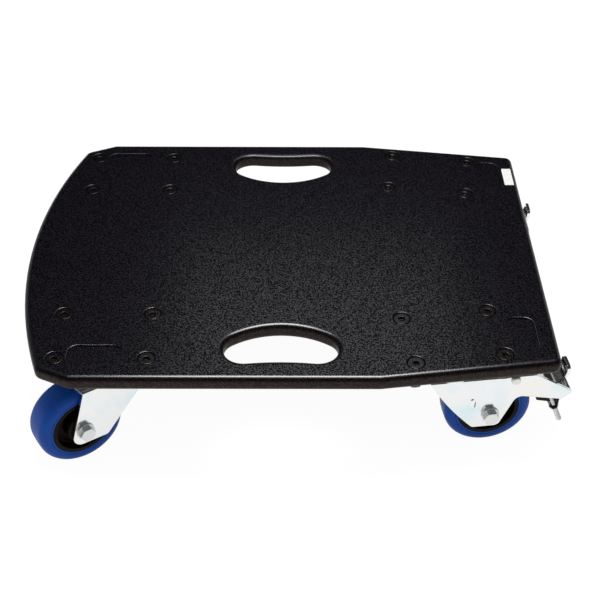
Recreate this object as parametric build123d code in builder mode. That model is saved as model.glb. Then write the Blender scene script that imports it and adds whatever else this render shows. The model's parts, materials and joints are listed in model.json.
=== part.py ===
from build123d import *
import os
from math import atan2, cos, degrees, hypot, radians, sin, sqrt, tan

os.makedirs("parts", exist_ok=True)

# Castor board: a painted plywood deck that carries a loudspeaker cabinet on four swivel castors.
# Millimetres, +X towards the straight end, +Y to the left of it, +Z up, with the floor at zero.

# Deck board
deck_length = 489.4
deck_width = 374.0
deck_thickness = 15.0
deck_edge_radius = 6.0
nose_radius = 497.0
nose_corner_length = 60.7
nose_corner_angle = 24.8
nose_corner_radius = 9.0
taper_length = 159.3
taper_angle = 7.9
end_corner_radius = 7.5

# Handle holes through the deck, one beside each long edge
handle_from_end = 245.8
grip_width = 25.3
handle_opening = 44.5
handle_inner_radius = 74.2
handle_grip_radius = 253.0
handle_corner_radius = 18.1

# Shallow pockets in the deck for the feet of the cabinet
pocket_length = 46.5
pocket_width = 24.0
pocket_depth = 1.5
pocket_corner_radius = 8.0
pocket_rim_radius = 1.2
nose_pocket_shift = 6.3
nose_pocket_inset = 31.3
tail_pocket_from_end = 30.2
tail_pocket_inset = 59.0

# Countersunk socket screws and hexagon nuts that hold the castors
screw_diameter = 8.0
screw_head_diameter = 16.0
screw_sink = 0.6
screw_rim_radius = 0.5
screw_socket_flats = 5.0
screw_socket_depth = 3.0
screw_socket_chamfer = 0.6
screw_tail = 0.8
screw_hole_clearance = 0.25
screw_hole_rim_radius = 0.8
plate_nut_height = 6.5
hexagon_flats = 13.0
thread_clearance = 0.03

# Places of the castors, and where each one's wheel trails to at rest
castor_spacing_x = 310.0
castor_edge_inset = 57.0
straight_end_inset = 92.9
tail_plate_angle = 8.0
castor_headings = {"nose_right": 212.5, "nose_left": 147.5, "tail_right": 7.5, "tail_left": 1.0}
braked_castors = ("tail_right", "tail_left")

# Castor top plate with its drawn cup
plate_length = 105.0
plate_width = 80.0
plate_thickness = 2.5
plate_corner_radius = 8.0
plate_hole_spacing_x = 80.0
plate_hole_spacing_y = 60.0
plate_hole_diameter = 9.0
cup_diameter = 52.0
cup_drop = 15.0
cup_wall = 3.0
cup_floor = 4.0
cup_edge_radius = 2.0

# Swivel head: two rings of balls, the king pin and the lower race ring
upper_ball_diameter = 6.0
upper_ball_pitch = 38.0
upper_ball_count = 16
upper_race_gap = 2.0
lower_ball_diameter = 5.0
lower_ball_pitch = 25.0
lower_ball_count = 12
lower_race_gap = 1.6
ball_clearance = 0.1
race_ring_diameter = 33.0
race_ring_thickness = 4.0
king_pin_diameter = 12.0
king_head_diameter = 19.0
king_head_height = 4.0
king_pin_room = 3.0
seat_clearance = 0.05

# Wheel with a moulded hub and an elastic rubber tyre
wheel_diameter = 82.0
wheel_width = 30.0
tyre_thickness = 12.0
tyre_crown = 1.0
tyre_shoulder_radius = 7.0
rim_wall = 4.0
hub_web_thickness = 10.0
hub_boss_diameter = 30.0
hub_boss_proud = 1.5
hub_recess_radius = 2.0

# Axle, spacer sleeve and roller bearing
axle_diameter = 8.0
axle_hole_clearance = 0.1
axle_head_height = 5.3
axle_nut_height = 8.0
axle_flange_diameter = 17.0
axle_flange_thickness = 1.5
axle_tail = 2.0
sleeve_diameter = 12.0
roller_diameter = 3.6
roller_count = 10
roller_clearance = 0.1
cage_wall = 2.0
bearing_length = 28.0

# Pressed steel fork, with a round crown on the plain ones
fork_sheet = 3.0
fork_side_clearance = 1.5
fork_bend_radius = 2.5
hat_diameter = 48.0
hat_thickness = 4.0
trail = 37.5
wheel_top_clearance = 2.5
race_ring_clearance = 0.8
crown_radius = 41.0
foot_front = 21.0
foot_rear = 15.4
foot_drop = 14.5
foot_front_radius = 5.0
foot_rear_radius = 9.0

# Braked fork: a curved front edge, a pressed bulge in each leg and wings at the back
brake_crown_front = 22.8
brake_front_bow = 2.7
brake_foot_front = 16.0
brake_foot_rear = 8.5
brake_foot_rear_radius = 6.0
bulge_back = 19.0
bulge_drop = 53.0
bulge_width = 7.0
bulge_height = 15.0
bulge_depth = 1.8
brake_web_end = 46.0
brake_web_flange = 4.0
wing_shoulder_back = 73.6
wing_root_back = 60.6
wing_root_drop = 46.4
wing_root_radius = 8.0
wing_heel_back = 101.6
wing_heel_drop = 55.3
wing_tip_back = 112.0
wing_tip_drop = 46.4
stop_plate_sheet = 2.0

# Brake pedal, its pivot pin, the shoe that meets the tyre and the adjusting screw
pedal_pin_diameter = 6.0
pedal_pin_head_diameter = 9.0
pedal_pin_head_height = 3.0
pedal_pin_dome_radius = 2.0
pedal_pin_clearance = 0.05
pedal_pivot_back = 57.2
pedal_pivot_drop = 26.2
pedal_boss_diameter = 8.4
pedal_sheet = 3.0
pedal_width = 18.0
pedal_plate_width = 26.0
pedal_plate_front = 63.0
pedal_plate_rear = 97.0
pedal_lip_back = 111.5
pedal_lip_drop = 28.0
pedal_lip_corner_radius = 4.0
pedal_bend_radius = 14.0
pedal_plate_rise = 3.5
pedal_travel = 6.0
pedal_cheek_angle = 34.4
pedal_cheek_clearance = 2.7
pedal_cheek_length = 10.0
shoe_width = 32.0
shoe_thickness = 6.0
shoe_contact_angle = 12.0
shoe_contact_gap = 0.3
shoe_length = 24.0
shoe_slope = 15.0
shoe_lug_width = 8.4
adjuster_angle = 22.5
adjuster_side = 14.0
adjuster_diameter = 5.0
adjuster_top = 16.0
adjuster_tail = 22.0
adjuster_nut_flats = 8.0
adjuster_nut_height = 2.7
adjuster_lug_drop = 9.3

# Heights below the top face of the castor plate
hat_drop = cup_drop + upper_race_gap
crown_drop = hat_drop + hat_thickness
race_ring_drop = crown_drop + lower_race_gap
king_tail_drop = race_ring_drop + race_ring_thickness
wheel_radius = wheel_diameter / 2
axle_drop = crown_drop + fork_sheet + wheel_top_clearance + wheel_radius
castor_height = axle_drop + wheel_radius
foot_level = axle_drop + foot_drop

# Widths across the castor
hub_width = wheel_width + 2 * hub_boss_proud
fork_inner_width = hub_width + 2 * fork_side_clearance
fork_width = fork_inner_width + 2 * fork_sheet

# Heights and lengths of the whole board
deck_underside = castor_height
deck_top = deck_underside + deck_thickness
stop_run = wing_tip_back - wing_heel_back
stop_rise = wing_heel_drop - wing_tip_drop
stop_length = hypot(stop_run, stop_rise)
stop_corner_back = wing_tip_back + stop_plate_sheet * stop_rise / stop_length
tail_turn = radians(castor_headings["tail_right"])
brake_reach = stop_corner_back * cos(tail_turn) + fork_width / 2 * sin(tail_turn)
overall_length = deck_length + brake_reach - straight_end_inset
nose_x = -overall_length / 2
end_x = nose_x + deck_length
tail_castor_x = end_x - straight_end_inset
nose_castor_x = tail_castor_x - castor_spacing_x
half_width = deck_width / 2
castor_y = half_width - castor_edge_inset


def castor_plane(name, turn, height=deck_underside):
    """Level plane on a castor's swivel axis, turned about it by an angle in degrees."""
    x = tail_castor_x if name.startswith("tail") else nose_castor_x
    y = -castor_y if name.endswith("right") else castor_y
    direction = (cos(radians(turn)), sin(radians(turn)), 0)
    return Plane(origin=(x, y, height), x_dir=direction, z_dir=(0, 0, 1))


def plate_turn(name):
    """Top plates at the straight end lie nearly parallel to the tapered edge beside them."""
    if name.startswith("nose"):
        return 0.0
    return tail_plate_angle if name.endswith("right") else -tail_plate_angle


plate_planes = {name: castor_plane(name, plate_turn(name)) for name in castor_headings}
swivel_planes = {name: castor_plane(name, heading) for name, heading in castor_headings.items()}
screw_planes = [castor_plane(name, plate_turn(name), deck_top) for name in castor_headings]


def save(piece, name):
    """Label a finished piece and write it under that name."""
    piece.part.label = name
    export_step(piece.part, f"parts/{name}.step")


def hexagon(plane, flats, height):
    """Hexagonal block standing on a plane, with its corners turned off at both ends."""
    corner_radius = flats / 2 / cos(radians(30))
    chamfer_height = (corner_radius - flats / 2) * tan(radians(30))
    with BuildSketch(plane) as outline:
        RegularPolygon(flats / 2, 6, major_radius=False)
    extrude(outline.sketch, amount=height)
    with BuildSketch(Plane(origin=plane.origin, x_dir=plane.x_dir, z_dir=-plane.y_dir)) as turned:
        with BuildLine():
            Polyline(
                (0, 0),
                (flats / 2, 0),
                (corner_radius, chamfer_height),
                (corner_radius, height - chamfer_height),
                (flats / 2, height),
                (0, height),
                close=True,
            )
        make_face()
    revolve(turned.sketch, axis=Axis(plane.origin, plane.z_dir), mode=Mode.INTERSECT)


# Deck board: plywood with rounded edges, handle holes, foot pockets and countersunk screw holes
end_half_width = half_width - taper_length * tan(radians(taper_angle))
nose_half_width = half_width - nose_corner_length * tan(radians(nose_corner_angle))
handle_x = end_x - handle_from_end
grip_line = half_width - grip_width
handle_apex = grip_line - handle_opening
with BuildPart() as deck_board:
    with BuildSketch(Plane.XY.offset(deck_underside)) as deck_outline:
        with BuildLine():
            Polyline(
                (nose_x, -nose_half_width),
                (nose_x + nose_corner_length, -half_width),
                (end_x - taper_length, -half_width),
                (end_x, -end_half_width),
                (end_x, end_half_width),
                (end_x - taper_length, half_width),
                (nose_x + nose_corner_length, half_width),
                (nose_x, nose_half_width),
                close=True,
            )
        make_face()
        with Locations((nose_x + nose_radius, 0)):
            Circle(nose_radius, mode=Mode.INTERSECT)
        fillet(deck_outline.vertices().group_by(Axis.X)[-1], end_corner_radius)
        fillet(deck_outline.vertices().group_by(Axis.X)[0], nose_corner_radius)
    extrude(amount=deck_thickness)
    with BuildSketch(Plane.XY.offset(deck_underside)) as handle_holes:
        with Locations((handle_x, handle_apex + handle_inner_radius)):
            Circle(handle_inner_radius)
        with Locations((handle_x, grip_line + handle_grip_radius)):
            Circle(handle_grip_radius, mode=Mode.SUBTRACT)
        fillet(handle_holes.vertices(), handle_corner_radius)
        mirror(about=Plane.XZ)
    extrude(amount=deck_thickness, mode=Mode.SUBTRACT)
    level_edges = deck_board.edges().group_by(Axis.Z)
    fillet(level_edges[0] + level_edges[-1], deck_edge_radius)
    with BuildSketch(Plane.XY.offset(deck_top)) as foot_pockets:
        with Locations((nose_castor_x - nose_pocket_shift, half_width - nose_pocket_inset)):
            RectangleRounded(pocket_length, pocket_width, pocket_corner_radius)
        with Locations((end_x - tail_pocket_from_end, half_width - tail_pocket_inset)):
            RectangleRounded(pocket_width, pocket_length, pocket_corner_radius)
        mirror(about=Plane.XZ)
    extrude(amount=-pocket_depth, mode=Mode.SUBTRACT)
    pocket_edges = deck_board.edges(Select.LAST).group_by(Axis.Z)
    fillet(pocket_edges[-1], pocket_rim_radius)
    for plane in screw_planes:
        with Locations(plane):
            with GridLocations(plate_hole_spacing_x, plate_hole_spacing_y, 2, 2):
                CounterSinkHole(
                    screw_diameter / 2 + screw_hole_clearance,
                    screw_head_diameter / 2 + screw_sink,
                    counter_sink_angle=90,
                )
        hole_edges = deck_board.edges(Select.LAST).group_by(Axis.Z)
        fillet(hole_edges[-1], screw_hole_rim_radius)
save(deck_board, "deck_board")


# Countersunk screw, with its top face just under the deck surface
screw_length = deck_thickness - screw_sink + plate_thickness + plate_nut_height + screw_tail
screw_head_height = (screw_head_diameter - screw_diameter) / 2
with BuildPart() as one_screw:
    with BuildSketch(Plane.XZ):
        with BuildLine():
            Polyline(
                (0, -screw_sink),
                (screw_head_diameter / 2, -screw_sink),
                (screw_diameter / 2, -screw_sink - screw_head_height),
                (screw_diameter / 2, -screw_sink - screw_length),
                (0, -screw_sink - screw_length),
                close=True,
            )
        make_face()
    revolve(axis=Axis.Z)
    fillet(one_screw.edges().group_by(Axis.Z)[-1], screw_rim_radius)
    with BuildSketch(Plane.XY.offset(-screw_sink)):
        RegularPolygon(screw_socket_flats / 2, 6, major_radius=False)
    extrude(amount=-screw_socket_depth, mode=Mode.SUBTRACT)
    socket_edges = one_screw.edges(Select.LAST).group_by(Axis.Z)
    chamfer(socket_edges[-1], screw_socket_chamfer)

# Hexagon nut under the top plate
with BuildPart() as one_nut:
    nut_seat = Plane(origin=(0, 0, -plate_thickness), x_dir=(1, 0, 0), z_dir=(0, 0, -1))
    hexagon(nut_seat, hexagon_flats, plate_nut_height)
    with BuildSketch(nut_seat):
        Circle(screw_diameter / 2 + thread_clearance)
    extrude(amount=plate_nut_height, mode=Mode.SUBTRACT)

# Identical fasteners share a node, one in each hole of each top plate
for fastener, planes, name in (
    (one_screw, screw_planes, "deck_screws"),
    (one_nut, plate_planes.values(), "plate_nuts"),
):
    with BuildPart(*planes) as fasteners:
        with GridLocations(plate_hole_spacing_x, plate_hole_spacing_y, 2, 2):
            add(fastener.part)
    save(fasteners, name)

# King pin: a rivet that clamps the top plate's cup to the lower race ring
with BuildPart() as king_pin:
    with BuildSketch(Plane.XY.offset(king_head_height - cup_drop + cup_floor)):
        Circle(king_head_diameter / 2)
    extrude(amount=-king_head_height)
    with BuildSketch(Plane.XY.offset(cup_floor - cup_drop)):
        Circle(king_pin_diameter / 2)
    extrude(amount=cup_drop - cup_floor - king_tail_drop)
    with BuildSketch(Plane.XY.offset(-king_tail_drop)):
        Circle(king_head_diameter / 2)
    extrude(amount=-king_head_height)
with BuildPart(*plate_planes.values()) as king_pins:
    add(king_pin.part)
save(king_pins, "king_pins")


def cut_ball_track(ball_diameter, pitch_diameter, drop):
    """Round groove about the swivel axis for one ring of balls."""
    with BuildSketch(Plane.XZ) as track:
        with Locations((pitch_diameter / 2, -drop)):
            Circle(ball_diameter / 2 + ball_clearance)
    revolve(track.sketch, axis=Axis.Z, mode=Mode.SUBTRACT)


upper_ball_drop = cup_drop + upper_race_gap / 2
lower_ball_drop = crown_drop + lower_race_gap / 2

# Top plate: pressed steel with four screw holes and a drawn cup that carries the upper ball track
with BuildPart() as top_plate:
    with BuildSketch():
        RectangleRounded(plate_length, plate_width, plate_corner_radius)
        with GridLocations(plate_hole_spacing_x, plate_hole_spacing_y, 2, 2):
            Circle(plate_hole_diameter / 2, mode=Mode.SUBTRACT)
    extrude(amount=-plate_thickness)
    with BuildSketch():
        Circle(cup_diameter / 2)
    extrude(amount=-cup_drop)
    fillet(top_plate.edges().group_by(Axis.Z)[0], cup_edge_radius)
    with BuildSketch():
        Circle(cup_diameter / 2 - cup_wall)
    extrude(amount=cup_floor - cup_drop, mode=Mode.SUBTRACT)
    with BuildSketch():
        Circle(king_pin_diameter / 2 + seat_clearance)
    extrude(amount=-cup_drop, mode=Mode.SUBTRACT)
    cut_ball_track(upper_ball_diameter, upper_ball_pitch, upper_ball_drop)

# Lower race ring, clamped under the crown by the king pin
with BuildPart() as race_ring:
    with BuildSketch(Plane.XY.offset(-race_ring_drop)):
        Circle(race_ring_diameter / 2)
        Circle(king_pin_diameter / 2 + seat_clearance, mode=Mode.SUBTRACT)
    extrude(amount=-race_ring_thickness)
    cut_ball_track(lower_ball_diameter, lower_ball_pitch, lower_ball_drop)

# Balls of both races
with BuildPart() as swivel_balls:
    with Locations((0, 0, -upper_ball_drop)):
        with PolarLocations(upper_ball_pitch / 2, upper_ball_count):
            Sphere(upper_ball_diameter / 2)
    with Locations((0, 0, -lower_ball_drop)):
        with PolarLocations(lower_ball_pitch / 2, lower_ball_count):
            Sphere(lower_ball_diameter / 2)


def press_fork(side, front, rear):
    """Sheet steel channel, open below, cut to a side outline, with a hat on top for the ball races."""
    leg_middle = (fork_width - fork_sheet) / 2
    crown_middle = -crown_drop - fork_sheet / 2
    with BuildSketch(Plane.YZ.offset(-front)) as section:
        with BuildLine():
            FilletPolyline(
                (-leg_middle, -foot_level),
                (-leg_middle, crown_middle),
                (leg_middle, crown_middle),
                (leg_middle, -foot_level),
                radius=fork_bend_radius,
            )
        trace(line_width=fork_sheet)
    extrude(section.sketch, amount=front + rear)
    extrude(side.sketch, amount=fork_width, both=True, mode=Mode.INTERSECT)
    with BuildSketch(Plane.XY.offset(-hat_drop)) as hat:
        Circle(hat_diameter / 2)
    extrude(hat.sketch, amount=-hat_thickness)
    with BuildSketch(Plane.XY.offset(-hat_drop)) as hat_hole:
        Circle(king_pin_diameter / 2 + king_pin_room)
    extrude(hat_hole.sketch, amount=-hat_thickness, mode=Mode.SUBTRACT)
    with BuildSketch(Plane.XY.offset(-crown_drop)) as race_hole:
        Circle(race_ring_diameter / 2 + race_ring_clearance)
    extrude(race_hole.sketch, amount=crown_drop - king_tail_drop, mode=Mode.SUBTRACT)
    cut_ball_track(upper_ball_diameter, upper_ball_pitch, upper_ball_drop)
    cut_ball_track(lower_ball_diameter, lower_ball_pitch, lower_ball_drop)
    drill_across(trail, -axle_drop, axle_diameter / 2 + axle_hole_clearance)


def drill_across(back, height, radius):
    """Round hole straight across both sides of the fork."""
    with BuildSketch(Plane.XZ) as hole:
        with Locations((back, height)):
            Circle(radius)
    extrude(hole.sketch, amount=fork_width, both=True, mode=Mode.SUBTRACT)


# Plain fork of the nose castors: legs that run down from a round crown
foot_toe = (trail - foot_front, -foot_level)
foot_heel = (trail + foot_rear, -foot_level)
crown_side = sqrt(crown_radius**2 - (fork_width / 2) ** 2)
crown_underside = crown_drop + fork_sheet
with BuildSketch(Plane.XZ) as plain_side:
    with BuildLine():
        Polyline(
            (-crown_radius, -crown_drop),
            (-crown_radius, -crown_underside),
            (-crown_side, -crown_underside),
            foot_toe,
            foot_heel,
            (crown_side, -crown_underside),
            (crown_radius, -crown_underside),
            (crown_radius, -crown_drop),
            close=True,
        )
    make_face()
    for corner, radius in ((foot_toe, foot_front_radius), (foot_heel, foot_rear_radius)):
        fillet(plain_side.vertices().sort_by_distance(corner)[0], radius)
with BuildPart() as plain_fork:
    press_fork(plain_side, crown_radius, trail + foot_rear)
    with BuildSketch(Plane.XY.offset(-crown_drop)):
        Rectangle(4 * crown_radius, fork_width)
        Circle(crown_radius, mode=Mode.SUBTRACT)
    extrude(amount=-fork_sheet, mode=Mode.SUBTRACT)

# Braked fork of the tail castors: the legs run back into wings that house the pedal
brake_toe = (trail - brake_foot_front, -foot_level)
brake_heel = (trail + brake_foot_rear, -foot_level)
brake_crown = (-brake_crown_front, -crown_drop)
wing_root = (wing_root_back, -wing_root_drop)
wing_heel = (wing_heel_back, -wing_heel_drop)
wing_tip = (wing_tip_back, -wing_tip_drop)
with BuildSketch(Plane.XZ) as braked_side:
    with BuildLine():
        SagittaArc(brake_crown, brake_toe, -brake_front_bow)
        Polyline(
            brake_toe,
            brake_heel,
            wing_root,
            wing_heel,
            wing_tip,
            (wing_shoulder_back, -crown_drop),
            brake_crown,
        )
    make_face()
    for corner, radius in (
        (brake_toe, foot_front_radius),
        (brake_heel, brake_foot_rear_radius),
        (wing_root, wing_root_radius),
    ):
        fillet(braked_side.vertices().sort_by_distance(corner)[0], radius)

# The bulge in each leg is the imprint of a long round punch, driven outwards through the sheet
punch_radius = (bulge_width**2 / 4 + bulge_depth**2) / (2 * bulge_depth)
punch_offset = punch_radius - bulge_depth
punch_half_height = bulge_height / 2 * punch_radius / (bulge_width / 2)
with BuildPart() as punch:
    with BuildSketch(Plane.XZ):
        Ellipse(punch_radius, punch_half_height)
        Rectangle(
            2 * punch_radius,
            2 * punch_half_height,
            align=(Align.MAX, Align.CENTER),
            mode=Mode.SUBTRACT,
        )
    revolve(axis=Axis.Z)
with BuildPart() as bulge_cap:
    add(punch.part)
    split(bisect_by=Plane(origin=(0, punch_offset - fork_sheet / 2, 0), z_dir=(0, 1, 0)), keep=Keep.TOP)
with BuildPart() as braked_fork:
    press_fork(braked_side, brake_crown_front, wing_tip_back)
    for side, turn in ((1, 0), (-1, 180)):
        outer_middle = side * (fork_width / 2 - punch_offset)
        inner_middle = side * (fork_inner_width / 2 - punch_offset)
        with Locations(Location((bulge_back, outer_middle, -bulge_drop), (0, 0, turn))):
            add(bulge_cap.part)
        with Locations((bulge_back, inner_middle, -bulge_drop)):
            add(punch.part, mode=Mode.SUBTRACT)
    with BuildSketch(Plane.XY.offset(-crown_drop)):
        with Locations((brake_web_end, 0)):
            Rectangle(
                wing_shoulder_back,
                fork_inner_width - 2 * brake_web_flange,
                align=(Align.MIN, Align.CENTER),
            )
    extrude(amount=-2 * fork_sheet, mode=Mode.SUBTRACT)
    with BuildSketch(Plane.XZ):
        with Locations(wing_heel):
            Rectangle(
                stop_length,
                stop_plate_sheet,
                rotation=degrees(atan2(stop_rise, stop_run)),
                align=(Align.MIN, Align.MAX),
            )
    extrude(amount=fork_width / 2, both=True)
    drill_across(pedal_pivot_back, -pedal_pivot_drop, pedal_pin_diameter / 2 + seat_clearance)

# Wheel pieces are turned about the axle, from profiles of radius and width
axle_axis = Axis((trail, 0, -axle_drop), (0, 1, 0))
wheel_section = Plane(origin=(trail, 0, -axle_drop), x_dir=(1, 0, 0), z_dir=(0, 0, 1))
wheel_face = Plane(origin=(trail, 0, -axle_drop), x_dir=(1, 0, 0), z_dir=(0, -1, 0))
rim_radius = wheel_radius - tyre_thickness

# Tyre: elastic rubber with a slightly crowned tread and round shoulders
with BuildPart() as tyre:
    with BuildSketch(wheel_section) as tyre_profile:
        with BuildLine():
            Polyline(
                (wheel_radius - tyre_crown, -wheel_width / 2),
                (rim_radius, -wheel_width / 2),
                (rim_radius, wheel_width / 2),
                (wheel_radius - tyre_crown, wheel_width / 2),
            )
            ThreePointArc(
                (wheel_radius - tyre_crown, wheel_width / 2),
                (wheel_radius, 0),
                (wheel_radius - tyre_crown, -wheel_width / 2),
            )
        make_face()
        fillet(tyre_profile.vertices().group_by(Axis.X)[-1], tyre_shoulder_radius)
    revolve(axis=axle_axis)

# Hub: moulded plastic, a rim and a boss joined by a thin web
roller_pitch = sleeve_diameter + roller_diameter + 2 * roller_clearance
hub_bore = roller_pitch + roller_diameter + 2 * roller_clearance
with BuildPart() as hub:
    with BuildSketch(wheel_section) as hub_profile:
        with Locations(((rim_radius + hub_bore / 2) / 2, 0)):
            Rectangle(rim_radius - hub_bore / 2, wheel_width)
        with Locations(((hub_boss_diameter + hub_bore) / 4, 0)):
            Rectangle((hub_boss_diameter - hub_bore) / 2, hub_width)
        recess_depth = (wheel_width - hub_web_thickness) / 2
        recess_width = rim_radius - rim_wall - hub_boss_diameter / 2
        with Locations((hub_boss_diameter / 2 + recess_width / 2, 0)):
            with GridLocations(0, hub_web_thickness + recess_depth, 1, 2):
                Rectangle(recess_width, recess_depth, mode=Mode.SUBTRACT)
        web_half = hub_web_thickness / 2
        recess_corners = [v for v in hub_profile.vertices() if abs(abs(v.Y) - web_half) < web_half / 10]
        fillet(recess_corners, hub_recess_radius)
    revolve(axis=axle_axis)

# Roller bearing: rollers in a cage, running between the sleeve and the hub's bore
with BuildPart() as roller_bearing:
    with BuildSketch(wheel_face.offset(-bearing_length / 2)):
        Circle((roller_pitch + cage_wall) / 2)
        Circle((roller_pitch - cage_wall) / 2, mode=Mode.SUBTRACT)
    extrude(amount=bearing_length)
    roller_length = bearing_length - 2 * cage_wall
    with BuildSketch(wheel_face.offset(-roller_length / 2 - roller_clearance)):
        with PolarLocations(roller_pitch / 2, roller_count):
            Circle(roller_diameter / 2 + roller_clearance)
    extrude(amount=roller_length + 2 * roller_clearance, mode=Mode.SUBTRACT)
    with BuildSketch(wheel_face.offset(-roller_length / 2)):
        with PolarLocations(roller_pitch / 2, roller_count):
            Circle(roller_diameter / 2)
    extrude(amount=roller_length)

# Sleeve that the axle clamps between the legs
with BuildPart() as axle_sleeve:
    with BuildSketch(wheel_face.offset(-fork_inner_width / 2)):
        Circle(sleeve_diameter / 2)
        Circle(axle_diameter / 2 + axle_hole_clearance, mode=Mode.SUBTRACT)
    extrude(amount=fork_inner_width)

# Axle bolt with a flanged hexagon head, and its lock nut on the other leg
axle_bolts = {}
axle_nuts = {}
for end, head_side in (("nose", 1), ("tail", -1)):
    head_seat = Plane((trail, head_side * fork_width / 2, -axle_drop), (1, 0, 0), (0, head_side, 0))
    with BuildPart() as axle_bolt:
        hexagon(head_seat, hexagon_flats, axle_flange_thickness + axle_head_height)
        with BuildSketch(head_seat):
            Circle(axle_flange_diameter / 2)
        extrude(amount=axle_flange_thickness)
        with BuildSketch(head_seat):
            Circle(axle_diameter / 2)
        extrude(amount=-(fork_width + axle_nut_height + axle_tail))
    axle_bolts[end] = axle_bolt
    nut_seat = Plane((trail, -head_side * fork_width / 2, -axle_drop), (1, 0, 0), (0, -head_side, 0))
    with BuildPart() as axle_nut:
        hexagon(nut_seat, hexagon_flats, axle_nut_height)
        with BuildSketch(nut_seat):
            Circle(axle_diameter / 2 + thread_clearance)
        extrude(amount=axle_nut_height, mode=Mode.SUBTRACT)
    axle_nuts[end] = axle_nut

# Pivot pin of the pedal, riveted through both wings
with BuildPart() as pedal_pin:
    pin_face = Plane(origin=(pedal_pivot_back, 0, -pedal_pivot_drop), x_dir=(1, 0, 0), z_dir=(0, -1, 0))
    with BuildSketch(pin_face):
        Circle(pedal_pin_diameter / 2)
    extrude(amount=fork_width / 2, both=True)
    for side in (1, -1):
        with BuildSketch(pin_face.offset(side * fork_width / 2)):
            Circle(pedal_pin_head_diameter / 2)
        extrude(amount=side * pedal_pin_head_height)
    head_rims = pedal_pin.edges().group_by(Axis.Y)
    fillet(head_rims[0] + head_rims[-1], pedal_pin_dome_radius)


def swing_back(angle, radius, turn):
    """Point about the axle with the brake on, turned back to where it lies with the brake off."""
    along = trail + radius * cos(radians(angle)) - pedal_pivot_back
    up = radius * sin(radians(angle)) - axle_drop + pedal_pivot_drop
    back = along * cos(radians(turn)) - up * sin(radians(turn))
    rise = along * sin(radians(turn)) + up * cos(radians(turn))
    return pedal_pivot_back + back, rise - pedal_pivot_drop


# Brake shoe: a sloping bar whose front face meets the tyre when the pedal is down, with an adjuster lug
contact = swing_back(shoe_contact_angle, wheel_radius + shoe_contact_gap, pedal_travel)
face_angle = radians(shoe_contact_angle + pedal_travel)
face_half = shoe_thickness / 2
face_top = (contact[0] - face_half * sin(face_angle), contact[1] + face_half * cos(face_angle))
face_foot = (contact[0] + face_half * sin(face_angle), contact[1] - face_half * cos(face_angle))
shoe_rear = face_top[0] + shoe_length
shoe_fall = tan(radians(shoe_slope))
lug_across = (cos(radians(adjuster_angle)), sin(radians(adjuster_angle)))
lug_down = (lug_across[1], -lug_across[0])
lug_middle = (shoe_rear - shoe_lug_width / 2, face_foot[1] - adjuster_lug_drop)
lug_front = tuple(m - shoe_lug_width / 2 * a for m, a in zip(lug_middle, lug_across))
lug_rear = tuple(m + shoe_lug_width / 2 * a for m, a in zip(lug_middle, lug_across))
with BuildPart() as brake_shoe:
    with BuildSketch(Plane.XZ):
        with BuildLine():
            Polyline(
                face_top,
                face_foot,
                (lug_front[0], face_foot[1] - shoe_fall * (lug_front[0] - face_foot[0])),
                lug_front,
                lug_rear,
                (shoe_rear, face_top[1] - shoe_fall * shoe_length),
                close=True,
            )
        make_face()
    extrude(amount=shoe_width / 2, both=True)
    adjuster_plane = Plane(
        origin=(lug_middle[0], -adjuster_side, lug_middle[1]),
        x_dir=(lug_across[0], 0, lug_across[1]),
        z_dir=(lug_down[0], 0, lug_down[1]),
    )
    with BuildSketch(adjuster_plane):
        Circle(adjuster_diameter / 2 + thread_clearance)
    extrude(amount=-2 * adjuster_top, mode=Mode.SUBTRACT)

# Adjusting screw and its thin nut under the lug
with BuildPart() as adjuster_screw:
    with BuildSketch(adjuster_plane.offset(-adjuster_top)):
        Circle(adjuster_diameter / 2)
    extrude(amount=adjuster_top + adjuster_tail)
    fillet(adjuster_screw.edges().group_by(Axis.Z)[0], adjuster_diameter / 4)

with BuildPart() as adjuster_nut:
    hexagon(adjuster_plane, adjuster_nut_flats, adjuster_nut_height)
    with BuildSketch(adjuster_plane):
        Circle(adjuster_diameter / 2 + thread_clearance)
    extrude(amount=adjuster_nut_height, mode=Mode.SUBTRACT)

# Brake pedal: a boss on the pivot, a wide plate that narrows and curls up into the foot lip, and two cheeks
wing_slope = (wing_tip_drop - crown_drop) / (wing_tip_back - wing_shoulder_back)
plate_start = (pedal_pivot_back, -pedal_pivot_drop + pedal_plate_rise)
cheek_rear = face_top[0] + pedal_cheek_length


def plate_point(back):
    """Point in the middle of the pedal's sloping plate, at a distance behind the swivel axis."""
    return back, plate_start[1] - wing_slope * (back - pedal_pivot_back)


cheek_knee = swing_back(pedal_cheek_angle, wheel_radius + pedal_cheek_clearance, pedal_travel)
with BuildPart() as brake_pedal:
    with BuildSketch(Plane.XZ):
        with BuildLine():
            FilletPolyline(
                plate_start,
                plate_point(pedal_lip_back),
                (pedal_lip_back, -pedal_lip_drop),
                radius=pedal_bend_radius,
            )
        trace(line_width=pedal_sheet)
    extrude(amount=pedal_width / 2, both=True)
    fillet(brake_pedal.edges().filter_by(Axis.X), pedal_lip_corner_radius)
    with BuildSketch(Plane.XZ):
        with BuildLine():
            Line(plate_point(pedal_plate_front), plate_point(pedal_plate_rear))
        trace(line_width=pedal_sheet)
    extrude(amount=pedal_plate_width / 2, both=True)
    for side in (1, -1):
        with BuildSketch(Plane.XZ.offset(side * pedal_width / 2)):
            with BuildLine():
                Polyline(
                    plate_start,
                    (pedal_pivot_back, -pedal_pivot_drop),
                    cheek_knee,
                    face_top,
                    (cheek_rear, face_top[1] - shoe_fall * pedal_cheek_length),
                    plate_point(cheek_rear),
                    close=True,
                )
            make_face()
        extrude(amount=-side * pedal_sheet)
    with BuildSketch(pin_face):
        Circle(pedal_boss_diameter / 2)
    extrude(amount=pedal_width / 2, both=True)
    with BuildSketch(pin_face):
        Circle(pedal_pin_diameter / 2 + pedal_pin_clearance)
    extrude(amount=pedal_width, both=True, mode=Mode.SUBTRACT)

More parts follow.
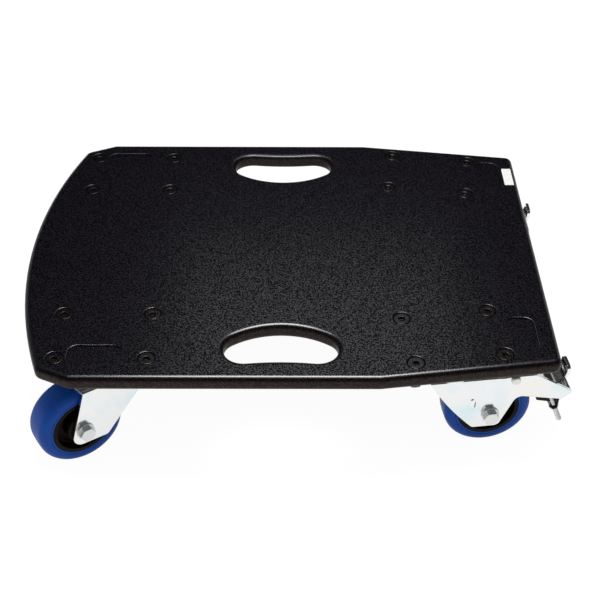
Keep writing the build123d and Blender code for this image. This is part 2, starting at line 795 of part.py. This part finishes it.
# Every castor gets its own copy of each piece, the plate turned with the deck and the rest with the swivel
swivel_pieces = {
    "swivel_balls": swivel_balls,
    "axle_sleeve": axle_sleeve,
    "roller_bearing": roller_bearing,
    "hub": hub,
    "tyre": tyre,
}
brake_pieces = {
    "pedal_pin": pedal_pin,
    "brake_pedal": brake_pedal,
    "brake_shoe": brake_shoe,
    "adjuster_screw": adjuster_screw,
    "adjuster_nut": adjuster_nut,
}
for castor in castor_headings:
    braked = castor in braked_castors
    end = castor.split("_")[0]
    placed = {piece: (shape, swivel_planes[castor]) for piece, shape in swivel_pieces.items()}
    placed["axle_bolt"] = (axle_bolts[end], swivel_planes[castor])
    placed["axle_nut"] = (axle_nuts[end], swivel_planes[castor])
    placed["fork"] = (braked_fork if braked else plain_fork, swivel_planes[castor])
    placed["top_plate"] = (top_plate, plate_planes[castor])
    placed["race_ring"] = (race_ring, plate_planes[castor])
    if braked:
        placed.update({piece: (shape, swivel_planes[castor]) for piece, shape in brake_pieces.items()})
    for piece, (shape, plane) in placed.items():
        with BuildPart(plane) as copy:
            add(shape.part)
        save(copy, f"{castor}_{piece}")
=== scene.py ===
import json
import math

import bpy
import numpy as np
from mathutils import Matrix, Vector


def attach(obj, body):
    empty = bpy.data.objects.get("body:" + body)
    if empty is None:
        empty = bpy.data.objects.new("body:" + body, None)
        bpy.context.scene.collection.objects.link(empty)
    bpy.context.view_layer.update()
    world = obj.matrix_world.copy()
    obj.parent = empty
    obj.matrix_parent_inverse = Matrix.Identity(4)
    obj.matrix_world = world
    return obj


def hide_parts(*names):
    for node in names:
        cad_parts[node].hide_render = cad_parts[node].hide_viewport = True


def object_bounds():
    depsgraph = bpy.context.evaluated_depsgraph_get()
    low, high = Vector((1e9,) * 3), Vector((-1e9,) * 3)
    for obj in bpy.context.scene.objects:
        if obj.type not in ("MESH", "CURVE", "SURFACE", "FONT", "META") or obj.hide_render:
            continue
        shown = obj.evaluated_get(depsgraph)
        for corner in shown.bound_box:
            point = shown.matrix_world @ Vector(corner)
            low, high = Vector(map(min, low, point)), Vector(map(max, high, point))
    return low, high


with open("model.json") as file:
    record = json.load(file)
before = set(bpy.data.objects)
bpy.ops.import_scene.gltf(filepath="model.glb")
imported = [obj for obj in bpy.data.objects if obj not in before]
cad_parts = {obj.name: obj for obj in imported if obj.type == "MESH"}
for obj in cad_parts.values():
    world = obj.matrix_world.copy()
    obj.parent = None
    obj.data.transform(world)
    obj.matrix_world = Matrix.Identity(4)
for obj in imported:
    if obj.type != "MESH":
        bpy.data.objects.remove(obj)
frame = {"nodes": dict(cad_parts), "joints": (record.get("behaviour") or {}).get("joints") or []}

cad_low, cad_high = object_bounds()


# Deck board: plywood cut to one outline, with handle holes, foot pockets and edges rounded all over.
# It is sprayed with black structure paint, which dries in fine raised grains that catch the light; the grain
# tops are also painted lighter, partly as painted glints.
deck_edge_radius = 0.006
deck_black = (0.0009, 0.0007, 0.0011, 1)
deck_grain_glint_grey = (0.0076, 0.0056, 0.0108, 1)
deck_edge_black = (0.0200, 0.0140, 0.0108, 1)
deck_edge_brown = (0.0480, 0.0360, 0.0290, 1)
deck_brown_start = 0.002
deck_brown_full = 0.0045
deck_grain_size = 0.0014
deck_grain_height = 0.0003
grain_top_start = 0.46
grain_top_full = 0.59


def place(tree, kind, sockets, **settings):
    """New node of a kind, with its own settings, and values or links on its inputs."""
    node = tree.nodes.new(kind)
    for name, value in settings.items():
        setattr(node, name, value)
    for socket, value in sockets.items():
        if isinstance(value, bpy.types.NodeSocket):
            tree.links.new(value, node.inputs[socket])
        else:
            node.inputs[socket].default_value = value
    return node


def calculate(tree, operation, first, second):
    """Result of one sum on two numbers or outputs."""
    return place(tree, "ShaderNodeMath", {0: first, 1: second}, operation=operation).outputs[0]


def remap(tree, value, low, high, to_low, to_high):
    """Output stretched from one range to another and held inside it."""
    sockets = {"Value": value, "From Min": low, "From Max": high, "To Min": to_low, "To Max": to_high}
    return place(tree, "ShaderNodeMapRange", sockets).outputs[0]


def blend_colours(tree, share, first, second):
    """Colour between two others, by a share that changes over the surface."""
    return place(tree, "ShaderNodeMix", {0: share, 6: first, 7: second}, data_type="RGBA").outputs[2]


def cloud(tree, where, scale, detail, roughness=0.5):
    """Soft noise of a scale, from nought to one."""
    sockets = {"Vector": where, "Scale": scale, "Detail": detail, "Roughness": roughness}
    return place(tree, "ShaderNodeTexNoise", sockets).outputs["Fac"]


def new_finish(name, plain):
    """New material with one Principled shader, whose plain values are set on its own sockets."""
    material = bpy.data.materials.new(name)
    material.use_nodes = True
    shader = material.node_tree.nodes["Principled BSDF"]
    for socket, value in plain.items():
        shader.inputs[socket].default_value = value
    return material, material.node_tree, shader


def feed(tree, shader, colour, roughness, height, depth, rounding=0.0):
    """Link a colour, a roughness and a bump to a shader, over edges rounded by a radius."""
    bump = place(tree, "ShaderNodeBump", {"Height": height, "Distance": depth})
    if rounding:
        rounded = place(tree, "ShaderNodeBevel", {"Radius": rounding}, samples=8)
        tree.links.new(rounded.outputs[0], bump.inputs["Normal"])
    tree.links.new(colour, shader.inputs["Base Color"])
    tree.links.new(roughness, shader.inputs["Roughness"])
    tree.links.new(bump.outputs[0], shader.inputs["Normal"])


def dress(material, names):
    """Give CAD nodes a finish through their material slots."""
    for name in names:
        frame["nodes"][name].material_slots[0].material = material


def new_effect(name, inputs, outputs):
    """New shader node group with number inputs and named outputs."""
    tree = bpy.data.node_groups.new(name, "ShaderNodeTree")
    for label, default in inputs.items():
        socket = tree.interface.new_socket(name=label, in_out="INPUT", socket_type="NodeSocketFloat")
        socket.default_value = default
    for label, kind in outputs.items():
        tree.interface.new_socket(name=label, in_out="OUTPUT", socket_type=kind)
    return tree, tree.nodes.new("NodeGroupInput").outputs, tree.nodes.new("NodeGroupOutput").inputs


def make_grain_effect():
    """Raised grains of a size in metres, as a mask of their tops and as a height."""
    tree, given, result = new_effect(
        "raised_grain",
        {"Size": 0.002},
        {"Mask": "NodeSocketFloat", "Height": "NodeSocketFloat"},
    )
    where = place(tree, "ShaderNodeTexCoord", {}).outputs["Object"]
    scale = calculate(tree, "DIVIDE", 1.0, given["Size"])
    height = cloud(tree, where, scale, 1.5, 0.6)
    tree.links.new(remap(tree, height, grain_top_start, grain_top_full, 0.0, 1.0), result["Mask"])
    tree.links.new(height, result["Height"])
    return tree


raised_grain = make_grain_effect()


def make_deck_paint():
    """Black structure paint, glossy on grains and upper rims, brown where it runs thin on the edges."""
    plain = {"Specular IOR Level": 0.08, "Coat Roughness": 0.25, "Coat IOR": 1.9}
    material, tree, shader = new_finish("deck_structure_paint", plain)
    grain = place(tree, "ShaderNodeGroup", {"Size": deck_grain_size}, node_tree=raised_grain).outputs
    tops = grain["Mask"]
    # The level is one on flat faces and nought on upright ones, so its ranges pick out rims and edges.
    facing = place(tree, "ShaderNodeNewGeometry", {}).outputs["Normal"]
    upright = place(tree, "ShaderNodeSeparateXYZ", {"Vector": facing}).outputs["Z"]
    level = calculate(tree, "ABSOLUTE", upright, 0.0)
    where = place(tree, "ShaderNodeTexCoord", {}).outputs["Object"]
    above_floor = place(tree, "ShaderNodeSeparateXYZ", {"Vector": where}).outputs["Z"]
    deep = remap(tree, above_floor, cad_high.z - deck_brown_start, cad_high.z - deck_brown_full, 0.0, 1.0)
    edge = calculate(tree, "MULTIPLY", remap(tree, level, 0.8, 0.3, 0.0, 1.0), deep)
    height = calculate(tree, "MULTIPLY", grain["Height"], remap(tree, level, 0.84, 0.99, 0.12, 1.0))
    # Grain tops are painted a lighter grey, partly as painted glints.
    flat_colour = blend_colours(tree, tops, deck_black, deck_grain_glint_grey)
    edge_colour = blend_colours(tree, tops, deck_edge_black, deck_edge_brown)
    colour = blend_colours(tree, edge, flat_colour, edge_colour)
    rim = remap(tree, level, 0.99, 0.95, 0.0, 1.0)
    upper = remap(tree, level, 0.78, 0.9, 0.0, 1.0)
    gloss = calculate(tree, "MULTIPLY", calculate(tree, "MAXIMUM", tops, rim), upper)
    tree.links.new(gloss, shader.inputs["Coat Weight"])
    roughness = remap(tree, tops, 0.0, 1.0, 0.40, 0.30)
    feed(tree, shader, colour, roughness, height, deck_grain_height)
    return material


dress(make_deck_paint(), ["deck_board"])


# Screws and nuts: countersunk socket screws through the deck and hexagon nuts under the castor plates.
# Turned and headed steel, blackened and oiled, so that rims and sockets shine a little.
steel_black = (0.045, 0.042, 0.042, 1)
steel_rubbed = (0.105, 0.096, 0.092, 1)
steel_grain_size = 0.0009
steel_grain_height = 0.00003
steel_edge_radius = 0.0007


def make_black_steel(name, dark, light):
    """Black-finished steel whose film varies in gloss."""
    material, tree, shader = new_finish(name, {"Metallic": 1.0})
    grain = place(tree, "ShaderNodeGroup", {"Size": steel_grain_size}, node_tree=raised_grain).outputs
    colour = blend_colours(tree, grain["Mask"], dark, light)
    roughness = remap(tree, grain["Mask"], 0.0, 1.0, 0.22, 0.36)
    feed(tree, shader, colour, roughness, grain["Height"], steel_grain_height, steel_edge_radius)
    return material


black_steel = make_black_steel("blackened_steel", steel_black, steel_rubbed)
dress(black_steel, ["deck_screws", "plate_nuts"])


# Swivel heads: a pressed top plate with a cup, two rings of balls, a race ring and a riveted king pin.
# Plates, rings and pins are steel with bright zinc under a clear bluish film, and the balls are polished.
# The plates are made duller and painted darker, as painted shade under the deck.
castors = ("nose_right", "nose_left", "tail_right", "tail_left")
zinc_silver = (0.84, 0.845, 0.84, 1)
zinc_cyan = (0.70, 0.82, 0.85, 1)
zinc_straw = (0.86, 0.83, 0.74, 1)
# Near-black that is mixed into zinc as painted shade.
zinc_shade_black = (0.05, 0.05, 0.05, 1)
zinc_spot_scale = 900.0
zinc_wave_scale = 55.0
zinc_edge_radius = 0.0004
ball_silver = (0.62, 0.62, 0.63, 1)
ball_shade = (0.50, 0.50, 0.52, 1)
ball_film_scale = 240.0
ball_film_depth = 0.00001


def make_zinc_effect():
    """Colour drift of a passivated zinc layer, mixed towards near-black by a share of painted shade, with
    its roughness and the slow waves of the sheet.
    """
    tree, given, result = new_effect(
        "passivated_zinc",
        {"Tint": 0.5, "Scale": 30.0, "Dullness": 0.1, "Shade": 0.0},
        {"Color": "NodeSocketColor", "Roughness": "NodeSocketFloat", "Height": "NodeSocketFloat"},
    )
    where = place(tree, "ShaderNodeTexCoord", {}).outputs["Object"]
    drift = cloud(tree, where, given["Scale"], 3.0)
    spots = cloud(tree, where, zinc_spot_scale, 3.0)
    cool = calculate(tree, "MULTIPLY", remap(tree, drift, 0.52, 0.72, 0.0, 1.0), given["Tint"])
    warm = calculate(tree, "MULTIPLY", remap(tree, drift, 0.46, 0.28, 0.0, 1.0), given["Tint"])
    cooled = blend_colours(tree, cool, zinc_silver, zinc_cyan)
    clean = blend_colours(tree, warm, cooled, zinc_straw)
    # Painted shade: the clean colour is mixed towards near-black by the given share.
    tree.links.new(blend_colours(tree, given["Shade"], clean, zinc_shade_black), result["Color"])
    mottle = calculate(tree, "MULTIPLY", spots, 0.12)
    tree.links.new(calculate(tree, "ADD", mottle, given["Dullness"]), result["Roughness"])
    pits = calculate(tree, "MULTIPLY", spots, 0.04)
    waves = cloud(tree, where, zinc_wave_scale, 1.0)
    tree.links.new(calculate(tree, "ADD", waves, pits), result["Height"])
    return tree


passivated_zinc = make_zinc_effect()


def make_zinc(name, tint, scale, dullness, painted_shade, unevenness):
    """Zinc-plated steel with its own colour drift, dullness, share of painted shade and waves."""
    material, tree, shader = new_finish(name, {"Metallic": 1.0})
    sockets = {"Tint": tint, "Scale": scale, "Dullness": dullness, "Shade": painted_shade}
    zinc = place(tree, "ShaderNodeGroup", sockets, node_tree=passivated_zinc).outputs
    feed(tree, shader, zinc["Color"], zinc["Roughness"], zinc["Height"], unevenness, zinc_edge_radius)
    return material


def make_polished_steel():
    """Ground and polished steel with a thin film of grease."""
    material, tree, shader = new_finish("polished_steel", {"Metallic": 1.0})
    where = place(tree, "ShaderNodeTexCoord", {}).outputs["Object"]
    film = cloud(tree, where, ball_film_scale, 3.0)
    colour = blend_colours(tree, film, ball_silver, ball_shade)
    feed(tree, shader, colour, remap(tree, film, 0.3, 0.7, 0.06, 0.16), film, ball_film_depth)
    return material


pressed_zinc = make_zinc("pressed_zinc", tint=1.0, scale=32.0, dullness=0.10, painted_shade=0.0, unevenness=0.0004)
# The top plates get painted shade: their colour goes most of the way to near-black.
shaded_zinc = make_zinc("shaded_zinc", tint=0.9, scale=40.0, dullness=0.5, painted_shade=0.8, unevenness=0.0002)
turned_zinc = make_zinc("turned_zinc", tint=0.5, scale=60.0, dullness=0.52, painted_shade=0.0, unevenness=0.0001)
polished_steel = make_polished_steel()
dress(shaded_zinc, [f"{castor}_top_plate" for castor in castors])
dress(turned_zinc, ["king_pins"] + [f"{castor}_race_ring" for castor in castors])
dress(polished_steel, [f"{castor}_swivel_balls" for castor in castors])


# Forks: pressed from zinc-plated sheet, with a round crown under the swivel head and a leg on each side.
# The two braked forks run on backwards in wings that carry the pedal, and each leg has a pressed bulge.
dress(pressed_zinc, [f"{castor}_fork" for castor in castors])


# Hubs: bodies moulded in black plastic, with a deep recess on each side, a boss and a roller bearing.
# The moulding has an eroded, slightly brown surface, and the bearing is a steel cage pressed into its bore.
hub_black = (0.0022, 0.0016, 0.0012, 1)
hub_brown = (0.0130, 0.0074, 0.0045, 1)
hub_grain_size = 0.0008
hub_grain_height = 0.00004


def make_hub_plastic():
    """Black moulded plastic with a fine eroded texture."""
    material, tree, shader = new_finish("hub_plastic", {"Specular IOR Level": 0.08})
    grain = place(tree, "ShaderNodeGroup", {"Size": hub_grain_size}, node_tree=raised_grain).outputs
    colour = blend_colours(tree, grain["Mask"], hub_black, hub_brown)
    roughness = remap(tree, grain["Mask"], 0.0, 1.0, 0.45, 0.6)
    feed(tree, shader, colour, roughness, grain["Height"], hub_grain_height)
    return material


dress(make_hub_plastic(), [f"{castor}_hub" for castor in castors])
dress(polished_steel, [f"{castor}_roller_bearing" for castor in castors])


# Tyres: solid elastic rubber, dyed blue, vulcanised on the hubs, with round shoulders and a crowned tread.
# The mould leaves a groove beside each rim and fine rings all over, and use gives the tread a pale bloom.
tyre_width = 0.030
tyre_thickness = 0.012
tyre_crown = 0.001
tyre_shoulder_radius = 0.007
tyre_shoulder_degrees = 86
tyre_shoulder_steps = 8
tyre_groove_depth = 0.0004
tyre_groove_edges = (0.0016, 0.0019, 0.0023, 0.0026)
tyre_steps = 120
tyre_ring_scale = 60.0
tyre_ring_depth = 0.00008
tyre_bloom_scale = 45.0
tyre_blue = (0.0010, 0.038, 0.26, 1)
tyre_pale_blue = (0.0080, 0.110, 0.52, 1)


def add_piece(name, vertices, faces):
    """New smooth mesh object, sharp where its faces turn by more than a third of a right angle."""
    data = bpy.data.meshes.new(name)
    data.from_pydata(vertices, [], faces)
    data.shade_smooth()
    data.set_sharp_from_angle(angle=math.radians(30))
    piece = bpy.data.objects.new(name, data)
    bpy.context.scene.collection.objects.link(piece)
    return piece


def tyre_profile(radius):
    """Closed section of a tyre, from rim to rim over the tread, as distances from the axle and across."""
    half = tyre_width / 2
    rim = radius - tyre_thickness
    flat = half - tyre_shoulder_radius
    shoulder = radius - tyre_crown * (flat / half) ** 2 - tyre_shoulder_radius
    groove = half - tyre_groove_depth
    side = [(rim, -half)]
    for edge, across in zip(tyre_groove_edges, (half, groove, groove, half)):
        side.append((rim + edge, -across))
    for step in range(tyre_shoulder_steps + 1):
        angle = math.radians(tyre_shoulder_degrees * step / tyre_shoulder_steps)
        distance = shoulder + tyre_shoulder_radius * math.sin(angle)
        side.append((distance, -flat - tyre_shoulder_radius * math.cos(angle)))
    side.append((radius - tyre_crown * (flat / half / 2) ** 2, -flat / 2))
    return side + [(radius, 0.0)] + [(distance, -across) for distance, across in reversed(side)]


def make_tyre(castor):
    """Tyre turned about the axle of its wheel, with its section and its turns as texture coordinates."""
    spin = next(joint for joint in frame["joints"] if joint["name"] == f"{castor}_wheel_spin")
    centre = Vector(spin["pos_m"])
    across = Vector(spin["axis"])
    up = Vector((0, 0, 1))
    forward = across.cross(up)
    section = tyre_profile(centre.z - cad_low.z)
    vertices = []
    for step in range(tyre_steps):
        angle = 2 * math.pi * step / tyre_steps
        outward = up * math.cos(angle) + forward * math.sin(angle)
        vertices += [centre + outward * distance + across * offset for distance, offset in section]
    faces = []
    places = []
    count = len(section)
    for step in range(tyre_steps):
        for index in range(count):
            ring = step * count
            next_ring = (step + 1) % tyre_steps * count
            following = (index + 1) % count
            faces.append((ring + index, next_ring + index, next_ring + following, ring + following))
            places += [(step, index), (step + 1, index), (step + 1, index + 1), (step, index + 1)]
    tyre = add_piece(f"{castor}_blue_tyre", vertices, faces)
    turns = tyre.data.uv_layers.new(name="turns")
    for corner, (step, index) in enumerate(places):
        turns.data[corner].uv = (step / tyre_steps, index / count)
    return tyre


def make_tyre_rubber():
    """Blue rubber with fine rings from its mould and a soft bloom."""
    material, tree, shader = new_finish("blue_rubber", {"Specular IOR Level": 0.18})
    coordinates = place(tree, "ShaderNodeTexCoord", {}).outputs
    stretch = {"Vector": coordinates["UV"], "Scale": (0.0, tyre_ring_scale, 0.0)}
    across = place(tree, "ShaderNodeMapping", stretch).outputs[0]
    rings = cloud(tree, across, 1.0, 3.0)
    bloom = cloud(tree, coordinates["Object"], tyre_bloom_scale, 3.0)
    share = calculate(tree, "MULTIPLY", remap(tree, rings, 0.3, 0.7, 0.4, 1.0), bloom)
    colour = blend_colours(tree, share, tyre_blue, tyre_pale_blue)
    feed(tree, shader, colour, remap(tree, bloom, 0.3, 0.7, 0.36, 0.52), rings, tyre_ring_depth)
    return material


blue_rubber = make_tyre_rubber()
dress(blue_rubber, [f"{castor}_tyre" for castor in castors])
for castor in castors:
    tyre = make_tyre(castor)
    tyre.data.materials.append(blue_rubber)
    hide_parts(f"{castor}_tyre")
    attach(tyre, f"{castor}_wheel")


# Axles: a flanged hexagon bolt through fork, sleeve and bearing, held by a flanged nut on the other leg.
# Cold-headed and turned steel, zinc-plated, duller and with less colour than the pressed sheet.
for piece in ("axle_bolt", "axle_nut", "axle_sleeve"):
    dress(turned_zinc, [f"{castor}_{piece}" for castor in castors])


# Brake pedals and shoes: a lever of bent sheet between the wings of its fork, on a pin riveted through them.
# Pedal and pin are zinc-plated like the fork, and the shoe under the lever is a steel bar in black lacquer.
braked_castors = ("tail_right", "tail_left")
shoe_black = (0.008, 0.008, 0.009, 1)
shoe_grey = (0.022, 0.022, 0.023, 1)
dress(pressed_zinc, [f"{castor}_brake_pedal" for castor in braked_castors])
dress(turned_zinc, [f"{castor}_pedal_pin" for castor in braked_castors])
lacquered_steel = make_black_steel("lacquered_steel", shoe_black, shoe_grey)
for piece in ("brake_shoe", "adjuster_nut"):
    dress(lacquered_steel, [f"{castor}_{piece}" for castor in braked_castors])


# Adjusting screws: a threaded rod through the lug of each shoe, locked by the black nut under it.
# The thread is rolled into the zinc-plated rod from end to end, and both ends are chamfered.
adjuster_pitch = 0.001
adjuster_thread_depth = 0.0003
adjuster_sides = 28
adjuster_rings_per_turn = 8


def bar_ends(name):
    """Middle points of the ends of a round CAD bar, and its radius."""
    points = np.array([corner.co for corner in frame["nodes"][name].data.vertices])
    directions = np.linalg.svd(points - points.mean(axis=0), full_matrices=False)[2]
    places = points @ directions.T
    low = places.min(axis=0)
    high = places.max(axis=0)
    middle = (low + high) / 2
    ends = [Vector(directions.T @ np.array((end, middle[1], middle[2]))) for end in (low[0], high[0])]
    return ends[0], ends[1], (high[1] - low[1]) / 2


def make_threaded_rod(name, node):
    """Rod in the place of a CAD bar, with a thread wound along it and a chamfer at each end."""
    start, end, radius = bar_ends(node)
    along = (end - start).normalized()
    sideways = along.orthogonal().normalized()
    other = along.cross(sideways)
    length = (end - start).length
    rings = round(length / adjuster_pitch * adjuster_rings_per_turn)
    vertices = []
    for ring in range(rings + 1):
        distance = length * ring / rings
        most = radius - adjuster_thread_depth + min(distance, length - distance)
        for side in range(adjuster_sides):
            turn = (distance / adjuster_pitch - side / adjuster_sides) % 1.0
            reach = min(radius - adjuster_thread_depth * abs(2 * turn - 1), most)
            angle = 2 * math.pi * side / adjuster_sides
            outward = sideways * math.cos(angle) + other * math.sin(angle)
            vertices.append(start + along * distance + outward * reach)
    faces = [tuple(reversed(range(adjuster_sides)))]
    faces.append(tuple(range(rings * adjuster_sides, (rings + 1) * adjuster_sides)))
    for ring in range(rings):
        for side in range(adjuster_sides):
            lower = ring * adjuster_sides
            upper = lower + adjuster_sides
            following = (side + 1) % adjuster_sides
            faces.append((lower + side, lower + following, upper + following, upper + side))
    return add_piece(name, vertices, faces)


for castor in braked_castors:
    node = f"{castor}_adjuster_screw"
    dress(turned_zinc, [node])
    rod = make_threaded_rod(f"{castor}_threaded_rod", node)
    rod.data.materials.append(turned_zinc)
    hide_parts(node)
    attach(rod, f"{castor}_pedal")


# Label: a small blank sticker of white film near the straight end, die-cut with round corners.
# It is rubbed down flat on the paint, so that the grain just shows through it.
label_start = 0.2195
label_side = 0.1095
label_length = 0.0097
label_width = 0.0304
label_thickness = 0.00015
label_corner_radius = 0.0006
label_corner_stations = (0.0, 0.0001, 0.0003, 0.0006)
label_steps = 16
label_bend = 0.2276
label_white = (0.86, 0.86, 0.86, 1)
label_shade = (0.76, 0.76, 0.75, 1)
label_grain_height = 0.00004


def make_label():
    """Thin film with rounded corners, bent down at its outer end over the rounded edge of the deck."""
    stations = list(label_corner_stations)
    stations += [label_length * step / label_steps for step in range(2, label_steps - 1)]
    stations += [label_length - station for station in reversed(label_corner_stations)]
    vertices = []
    for station in stations:
        from_end = min(station, label_length - station, label_corner_radius)
        from_centre = label_corner_radius - from_end
        inset = label_corner_radius - math.sqrt(label_corner_radius**2 - from_centre**2)
        past_bend = max(label_start + station - label_bend, 0.0)
        angle = past_bend / deck_edge_radius
        flat = label_start + station - past_bend
        for lift in (0.0, label_thickness):
            reach = deck_edge_radius + lift
            x = flat + reach * math.sin(angle)
            z = cad_high.z - deck_edge_radius + reach * math.cos(angle)
            vertices += [(x, label_side + inset, z), (x, label_side + label_width - inset, z)]
    faces = [(0, 1, 3, 2)]
    for step in range(len(stations) - 1):
        a = 4 * step
        b = a + 4
        faces += [(a, b, b + 1, a + 1), (a + 2, a + 3, b + 3, b + 2)]
        faces += [(a, a + 2, b + 2, b), (a + 1, b + 1, b + 3, a + 3)]
    last = 4 * (len(stations) - 1)
    faces.append((last, last + 2, last + 3, last + 1))
    return add_piece("blank_label", vertices, faces)


def make_label_film():
    """White film with the grain of the paint under it."""
    material, tree, shader = new_finish("label_film", {})
    grain = place(tree, "ShaderNodeGroup", {"Size": deck_grain_size}, node_tree=raised_grain).outputs
    colour = blend_colours(tree, grain["Mask"], label_shade, label_white)
    roughness = remap(tree, grain["Mask"], 0.0, 1.0, 0.4, 0.55)
    feed(tree, shader, colour, roughness, grain["Height"], label_grain_height)
    return material


blank_label = make_label()
blank_label.data.materials.append(make_label_film())
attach(blank_label, "deck")


# Studio: a pale floor under the wheels and a white paper sweep behind them, in a darker room.
# A soft lamp hangs high over the board and a long weak one low, and light from the paper fills the rest.
floor_half = 6.0
floor_chalk = (0.8, 0.8, 0.8, 1)
floor_faint_chalk = (0.1, 0.1, 0.1, 1)
sweep_white = (1.0, 1.0, 1.0, 1)
room_grey = (0.02, 0.02, 0.022, 1)
floor_glow = 0.95
sweep_fade_start = 0.08
sweep_fade_end = 0.45
sweep_side_rise = 0.35
soft_light = 0.5
overhead_place = (0.02, -0.05, 1.15)
overhead_aim = (0.02, -0.05, 0.0)
overhead_size = (0.60, 0.40)
overhead_watts = 7.2
strip_place = (0.035, -0.02, 0.62)
strip_aim = (0.035, -0.02, 0.0)
strip_size = (0.43, 1.30)
strip_watts = 0.92


def rays_seen(tree):
    """Masks of the rays that come from the camera and of those from a mirror or through glass."""
    path = place(tree, "ShaderNodeLightPath", {}).outputs
    mirror_rays = calculate(tree, "MAXIMUM", path["Is Glossy Ray"], path["Is Transmission Ray"])
    return path["Is Camera Ray"], mirror_rays


def make_floor():
    """Pale floor, white to the camera and in mirrors but for a soft shadow, and clear from below."""
    signs = ((-1, -1), (1, -1), (1, 1), (-1, 1))
    corners = [(x * floor_half, y * floor_half, cad_low.z) for x, y in signs]
    floor = add_piece("studio_floor", corners, [(0, 1, 2, 3)])
    material = bpy.data.materials.new("floor_white")
    material.use_nodes = True
    tree = material.node_tree
    tree.nodes.clear()
    camera_rays, mirror_rays = rays_seen(tree)
    chalk = place(tree, "ShaderNodeBsdfDiffuse", {"Color": floor_chalk}).outputs[0]
    faint = place(tree, "ShaderNodeBsdfDiffuse", {"Color": floor_faint_chalk}).outputs[0]
    glow = place(tree, "ShaderNodeEmission", {"Color": sweep_white, "Strength": floor_glow}).outputs[0]
    bright = place(tree, "ShaderNodeAddShader", {0: faint, 1: glow}).outputs[0]
    seen = calculate(tree, "MAXIMUM", camera_rays, mirror_rays)
    shown = place(tree, "ShaderNodeMixShader", {0: seen, 1: chalk, 2: bright}).outputs[0]
    from_below = place(tree, "ShaderNodeNewGeometry", {}).outputs["Backfacing"]
    clear = place(tree, "ShaderNodeBsdfTransparent", {}).outputs[0]
    surface = place(tree, "ShaderNodeMixShader", {0: from_below, 1: shown, 2: clear}).outputs[0]
    place(tree, "ShaderNodeOutputMaterial", {"Surface": surface})
    floor.data.materials.append(material)


def make_surround():
    """White paper that fades upwards into the room, sooner across the board, and an even soft light."""
    world = bpy.data.worlds.new("studio_surround")
    bpy.context.scene.world = world
    world.use_nodes = True
    tree = world.node_tree
    tree.nodes.clear()
    camera_rays, mirror_rays = rays_seen(tree)
    direction = place(tree, "ShaderNodeTexCoord", {}).outputs["Generated"]
    parts = place(tree, "ShaderNodeSeparateXYZ", {"Vector": direction}).outputs
    aside = calculate(tree, "MULTIPLY", calculate(tree, "ABSOLUTE", parts["Y"], 0.0), sweep_side_rise)
    height = calculate(tree, "ADD", parts["Z"], aside)
    fade = remap(tree, height, sweep_fade_start, sweep_fade_end, 0.0, 1.0)
    paper = blend_colours(tree, fade, sweep_white, room_grey)
    white = place(tree, "ShaderNodeBackground", {"Color": sweep_white, "Strength": 1.0}).outputs[0]
    sweep = place(tree, "ShaderNodeBackground", {"Color": paper, "Strength": 1.0}).outputs[0]
    soft = place(tree, "ShaderNodeBackground", {"Color": sweep_white, "Strength": soft_light}).outputs[0]
    mirrored = place(tree, "ShaderNodeMixShader", {0: mirror_rays, 1: soft, 2: sweep}).outputs[0]
    shown = place(tree, "ShaderNodeMixShader", {0: camera_rays, 1: mirrored, 2: white}).outputs[0]
    place(tree, "ShaderNodeOutputWorld", {"Surface": shown})


def add_softbox(name, position, aim, size, power):
    """Oblong soft lamp at a position, turned to a point."""
    data = bpy.data.lights.new(name, "AREA")
    data.shape = "RECTANGLE"
    data.size, data.size_y = size
    data.energy = power
    lamp = bpy.data.objects.new(name, data)
    lamp.location = position
    lamp.rotation_mode = "QUATERNION"
    lamp.rotation_quaternion = (Vector(aim) - Vector(position)).to_track_quat("-Z", "Y")
    bpy.context.scene.collection.objects.link(lamp)


make_floor()
make_surround()
add_softbox("overhead_softbox", overhead_place, overhead_aim, overhead_size, overhead_watts)
add_softbox("strip_softbox", strip_place, strip_aim, strip_size, strip_watts)
bpy.context.scene.view_settings.view_transform = "Standard"


# Camera: a long lens held above one long side of the board, level but for a small tilt.
# The target is a point on the top face of the deck, and the picture is square.
view_azimuth = math.radians(-0.47)
view_elevation = math.radians(39.4)
view_roll = math.radians(0.41)
view_distance = 1.1107
view_target = Vector((0.0048, -0.0804, cad_high.z))
lens_length_mm = 72.3
sensor_width_mm = 36.0

camera_data = bpy.data.cameras.new("photo_camera")
camera_data.sensor_width = sensor_width_mm
camera_data.lens = lens_length_mm
camera = bpy.data.objects.new("photo_camera", camera_data)
bpy.context.scene.collection.objects.link(camera)
level_right = Vector((math.cos(view_azimuth), math.sin(view_azimuth), 0))
towards_camera = Vector((
    math.sin(view_azimuth) * math.cos(view_elevation),
    -math.cos(view_azimuth) * math.cos(view_elevation),
    math.sin(view_elevation),
))
level_up = towards_camera.cross(level_right)
camera_right = level_right * math.cos(view_roll) + level_up * math.sin(view_roll)
camera_up = level_up * math.cos(view_roll) - level_right * math.sin(view_roll)
turn = Matrix((camera_right, camera_up, towards_camera)).transposed()
camera.matrix_world = Matrix.Translation(view_target + towards_camera * view_distance) @ turn.to_4x4()
bpy.context.scene.camera = camera
